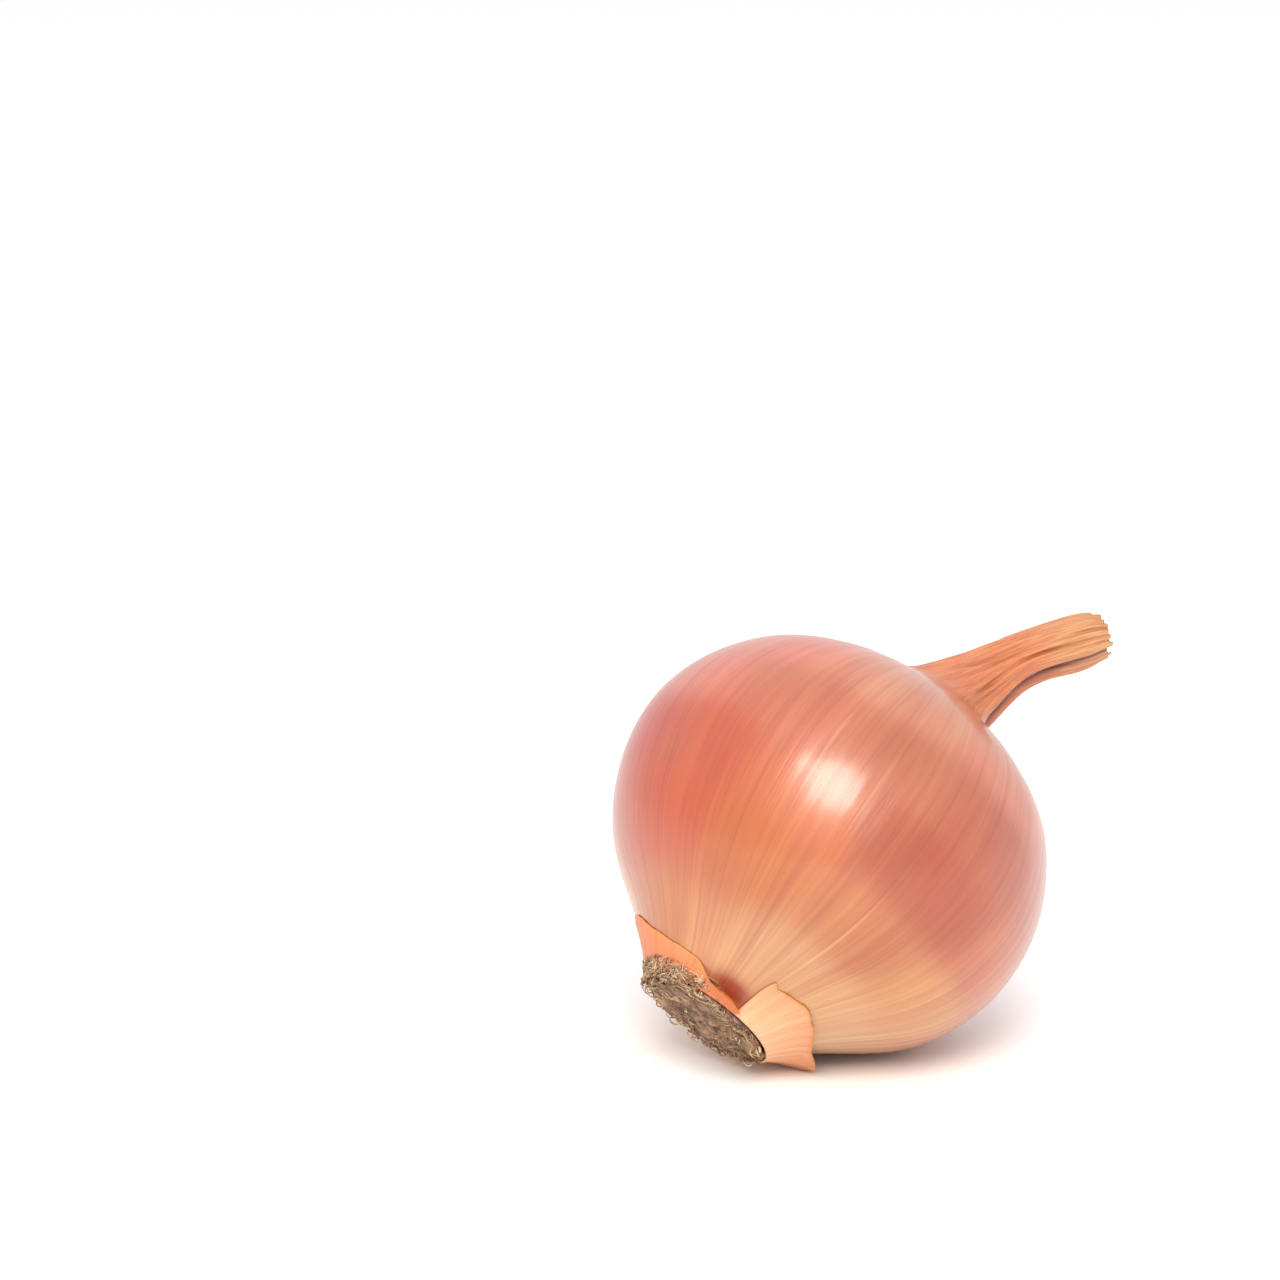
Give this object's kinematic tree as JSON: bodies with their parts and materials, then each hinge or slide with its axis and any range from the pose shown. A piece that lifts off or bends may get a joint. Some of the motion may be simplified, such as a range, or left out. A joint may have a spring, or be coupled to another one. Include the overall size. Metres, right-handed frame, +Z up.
{
  "type": "onion",
  "caption": "Dry brown onion lying on its side, with a dried neck, a mat of root stubs and torn remnants of outer skin round its foot.",
  "frame": {"origin": "centre of the flat spot on the flank that the onion rests on, on the surface that it lies on", "axes": "+Z up; +X is the horizontal heading of the bulb's axis from the roots to the neck, which rises 41.6 degrees above it; +Y completes the right-handed frame"},
  "size_m": [0.0921, 0.0759, 0.0717],
  "materials": {
    "dry_skin": "satin",
    "dried_roots": "matte",
    "torn_skin": "satin"
  },
  "bodies": {
    "root": {"bulb_and_neck": "dry_skin", "root_tuft": "dried_roots", "torn_skin_left": "torn_skin", "torn_skin_right": "torn_skin"}
  },
  "joints": []
}
